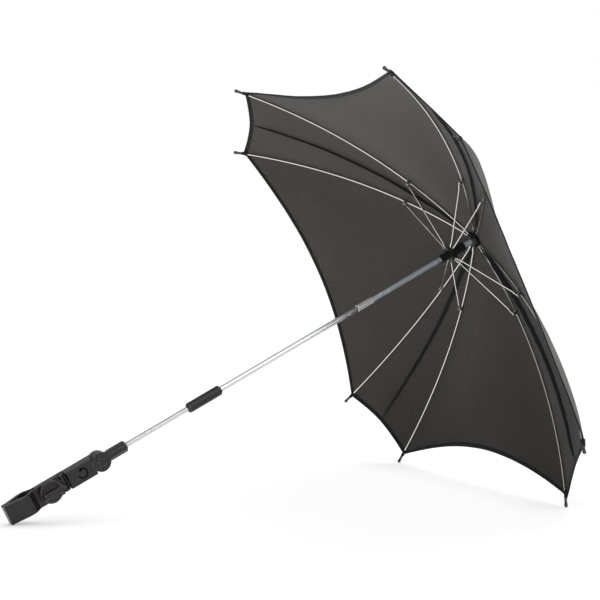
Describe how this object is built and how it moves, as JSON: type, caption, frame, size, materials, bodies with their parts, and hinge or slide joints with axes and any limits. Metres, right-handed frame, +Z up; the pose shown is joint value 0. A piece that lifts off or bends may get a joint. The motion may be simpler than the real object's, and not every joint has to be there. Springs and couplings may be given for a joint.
{
  "type": "pram parasol",
  "caption": "Folding sunshade for a pram: ribbed cloth cover on a sliding runner, bending neck, tilting pivot and a screw clamp for a frame tube.",
  "frame": {"origin": "middle of the clamp's eye, on the axis of the tube that it grips", "axes": "the open parasol lies as on a floor, +Z up from the floor, +X along the floor from the clamp towards the crown, Y along the pivot's axis"},
  "size_m": [0.6657, 0.5794, 0.5207],
  "materials": {
    "grey_tube": "satin blue-grey lacquer",
    "chrome": "bright plated steel",
    "collar": "fluted, bright",
    "black_plastic": "satin moulded",
    "steel": "plain",
    "neck_steel": "spiral wound, plated",
    "cover_cloth": "fine plain weave",
    "brass": "plain"
  },
  "bodies": {
    "shaft": {"upper_tube": "grey_tube", "lower_tube": "chrome", "collar": "collar", "crown": "black_plastic", "crown_wire": "steel", "ferrule": "black_plastic", "cover_washer": "black_plastic", "cover": "cover_cloth", "connector": "black_plastic"},
    "runner": {"runner": "black_plastic", "runner_wire": "steel"},
    "upper_catch": {"upper_catch": "black_plastic"},
    "lower_catch": {"lower_catch": "steel"},
    "rib_1": {"rib_1": "chrome", "rib_tip_1": "black_plastic", "rib_joint_1": "steel"},
    "stretcher_1": {"stretcher_1": "chrome"},
    "rib_2": {"rib_2": "chrome", "rib_tip_2": "black_plastic", "rib_joint_2": "steel"},
    "stretcher_2": {"stretcher_2": "chrome"},
    "rib_3": {"rib_3": "chrome", "rib_tip_3": "black_plastic", "rib_joint_3": "steel"},
    "stretcher_3": {"stretcher_3": "chrome"},
    "rib_4": {"rib_4": "chrome", "rib_tip_4": "black_plastic", "rib_joint_4": "steel"},
    "stretcher_4": {"stretcher_4": "chrome"},
    "rib_5": {"rib_5": "chrome", "rib_tip_5": "black_plastic", "rib_joint_5": "steel"},
    "stretcher_5": {"stretcher_5": "chrome"},
    "rib_6": {"rib_6": "chrome", "rib_tip_6": "black_plastic", "rib_joint_6": "steel"},
    "stretcher_6": {"stretcher_6": "chrome"},
    "rib_7": {"rib_7": "chrome", "rib_tip_7": "black_plastic", "rib_joint_7": "steel"},
    "stretcher_7": {"stretcher_7": "chrome"},
    "rib_8": {"rib_8": "chrome", "rib_tip_8": "black_plastic", "rib_joint_8": "steel"},
    "stretcher_8": {"stretcher_8": "chrome"},
    "neck": {"neck_upper": "neck_steel"},
    "arm": {"neck_lower": "neck_steel", "arm": "black_plastic", "button_spring": "steel"},
    "button": {"button": "black_plastic"},
    "clamp": {"clamp_body": "black_plastic", "pivot_bolt": "steel", "lock_ring": "black_plastic", "jaw_pin": "steel", "clamp_bolt": "steel"},
    "front_jaw": {"front_jaw": "black_plastic"},
    "clamp_washer": {"clamp_washer": "steel"},
    "knob": {"knob": "black_plastic", "knob_nut": "brass"}
  },
  "joints": [
    {"name": "runner_slide", "type": "slide", "parent": "shaft", "child": "runner", "axis": [0.8975, 0, 0.441], "range_m": [-0.16906, 0], "deforming": ["cover"]},
    {"name": "rib_hinge_1", "type": "hinge", "parent": "shaft", "child": "rib_1", "pos_m": [0.60992, 0.00502, 0.2916], "axis": [-0.2517, 0.8211, 0.5122], "range_deg": [0, 66.01]},
    {"name": "stretcher_hinge_1", "type": "hinge", "parent": "rib_1", "child": "stretcher_1", "pos_m": [0.62573, 0.06463, 0.20381], "axis": [-0.2517, 0.8211, 0.5122], "range_deg": [-136.61, 0]},
    {"name": "rib_hinge_2", "type": "hinge", "parent": "shaft", "child": "rib_2", "pos_m": [0.60894, 0.00723, 0.29358], "axis": [-0.3621, 0.5707, 0.737], "range_deg": [0, 66.01]},
    {"name": "stretcher_hinge_2", "type": "hinge", "parent": "rib_2", "child": "stretcher_2", "pos_m": [0.61323, 0.093, 0.22926], "axis": [-0.3621, 0.5707, 0.737], "range_deg": [-136.61, 0]},
    {"name": "rib_hinge_3", "type": "hinge", "parent": "shaft", "child": "rib_3", "pos_m": [0.60451, 0.00723, 0.30259], "axis": [-0.3621, -0.5707, 0.737], "range_deg": [0, 66.01]},
    {"name": "stretcher_hinge_3", "type": "hinge", "parent": "rib_3", "child": "stretcher_3", "pos_m": [0.55622, 0.093, 0.34529], "axis": [-0.3621, -0.5707, 0.737], "range_deg": [-136.61, 0]},
    {"name": "rib_hinge_4", "type": "hinge", "parent": "shaft", "child": "rib_4", "pos_m": [0.60354, 0.00502, 0.30457], "axis": [-0.2517, -0.8211, 0.5122], "range_deg": [0, 66.01]},
    {"name": "stretcher_hinge_4", "type": "hinge", "parent": "rib_4", "child": "stretcher_4", "pos_m": [0.54372, 0.06463, 0.37074], "axis": [-0.2517, -0.8211, 0.5122], "range_deg": [-136.61, 0]},
    {"name": "rib_hinge_5", "type": "hinge", "parent": "shaft", "child": "rib_5", "pos_m": [0.60354, -0.00502, 0.30457], "axis": [0.2517, -0.8211, -0.5122], "range_deg": [0, 66.01]},
    {"name": "stretcher_hinge_5", "type": "hinge", "parent": "rib_5", "child": "stretcher_5", "pos_m": [0.54372, -0.06463, 0.37074], "axis": [0.2517, -0.8211, -0.5122], "range_deg": [-136.61, 0]},
    {"name": "rib_hinge_6", "type": "hinge", "parent": "shaft", "child": "rib_6", "pos_m": [0.60451, -0.00723, 0.30259], "axis": [0.3621, -0.5707, -0.737], "range_deg": [0, 66.01]},
    {"name": "stretcher_hinge_6", "type": "hinge", "parent": "rib_6", "child": "stretcher_6", "pos_m": [0.55622, -0.093, 0.34529], "axis": [0.3621, -0.5707, -0.737], "range_deg": [-136.61, 0]},
    {"name": "rib_hinge_7", "type": "hinge", "parent": "shaft", "child": "rib_7", "pos_m": [0.60894, -0.00723, 0.29358], "axis": [0.3621, 0.5707, -0.737], "range_deg": [0, 66.01]},
    {"name": "stretcher_hinge_7", "type": "hinge", "parent": "rib_7", "child": "stretcher_7", "pos_m": [0.61323, -0.093, 0.22926], "axis": [0.3621, 0.5707, -0.737], "range_deg": [-136.61, 0]},
    {"name": "rib_hinge_8", "type": "hinge", "parent": "shaft", "child": "rib_8", "pos_m": [0.60992, -0.00502, 0.2916], "axis": [0.2517, 0.8211, -0.5122], "range_deg": [0, 66.01]},
    {"name": "stretcher_hinge_8", "type": "hinge", "parent": "rib_8", "child": "stretcher_8", "pos_m": [0.62573, -0.06463, 0.20381], "axis": [0.2517, 0.8211, -0.5122], "range_deg": [-136.61, 0]},
    {"name": "upper_catch_press", "type": "slide", "parent": "shaft", "child": "upper_catch", "axis": [0, 1, 0], "range_m": [0, 0.0009], "stiffness_N_per_m": 900, "springref_m": -0.0015},
    {"name": "lower_catch_press", "type": "slide", "parent": "shaft", "child": "lower_catch", "axis": [0, 1, 0], "range_m": [0, 0.0009], "stiffness_N_per_m": 900, "springref_m": -0.0015},
    {"name": "neck_bend_side", "type": "hinge", "parent": "shaft", "child": "neck", "pos_m": [0.18061, 0, 0.08873], "axis": [0.441, 0, -0.8975], "range_deg": [-45, 45], "deforming": ["neck_upper"]},
    {"name": "neck_bend_fore", "type": "hinge", "parent": "neck", "child": "arm", "pos_m": [0.14098, 0, 0.06926], "axis": [0, 1, 0], "range_deg": [-45, 45], "deforming": ["neck_lower"]},
    {"name": "pivot_tilt", "type": "hinge", "parent": "arm", "child": "clamp", "pos_m": [0.08841, 0, 0.04343], "axis": [0, 1, 0], "range_deg": [-90, 90]},
    {"name": "button_press", "type": "slide", "parent": "arm", "child": "button", "axis": [0, 1, 0], "range_m": [0, 0.0012], "stiffness_N_per_m": 1500, "springref_m": -0.0015, "deforming": ["button_spring"]},
    {"name": "jaw_open", "type": "hinge", "parent": "clamp", "child": "front_jaw", "pos_m": [0.04353, -0.0025, 0.02139], "axis": [-0.441, 0, 0.8975], "range_deg": [0, 15]},
    {"name": "washer_slide", "type": "slide", "parent": "clamp", "child": "clamp_washer", "axis": [0, -1, 0], "range_m": [0, 0.00781]},
    {"name": "knob_turn", "type": "hinge", "parent": "clamp_washer", "child": "knob", "pos_m": [0.02693, 0, 0.01323], "axis": [0, -1, 0], "range_deg": [0, 3510.5]}
  ],
  "couplings": [
    {"joint": "rib_hinge_1", "follows": "runner_slide", "rad_per_m": -6.8137},
    {"joint": "stretcher_hinge_1", "follows": "runner_slide", "rad_per_m": 14.102},
    {"joint": "rib_hinge_2", "follows": "runner_slide", "rad_per_m": -6.8137},
    {"joint": "stretcher_hinge_2", "follows": "runner_slide", "rad_per_m": 14.102},
    {"joint": "rib_hinge_3", "follows": "runner_slide", "rad_per_m": -6.8137},
    {"joint": "stretcher_hinge_3", "follows": "runner_slide", "rad_per_m": 14.102},
    {"joint": "rib_hinge_4", "follows": "runner_slide", "rad_per_m": -6.8137},
    {"joint": "stretcher_hinge_4", "follows": "runner_slide", "rad_per_m": 14.102},
    {"joint": "rib_hinge_5", "follows": "runner_slide", "rad_per_m": -6.8137},
    {"joint": "stretcher_hinge_5", "follows": "runner_slide", "rad_per_m": 14.102},
    {"joint": "rib_hinge_6", "follows": "runner_slide", "rad_per_m": -6.8137},
    {"joint": "stretcher_hinge_6", "follows": "runner_slide", "rad_per_m": 14.102},
    {"joint": "rib_hinge_7", "follows": "runner_slide", "rad_per_m": -6.8137},
    {"joint": "stretcher_hinge_7", "follows": "runner_slide", "rad_per_m": 14.102},
    {"joint": "rib_hinge_8", "follows": "runner_slide", "rad_per_m": -6.8137},
    {"joint": "stretcher_hinge_8", "follows": "runner_slide", "rad_per_m": 14.102},
    {"joint": "washer_slide", "follows": "jaw_open", "m_per_rad": 0.029794},
    {"joint": "knob_turn", "follows": "jaw_open", "ratio": 234}
  ]
}
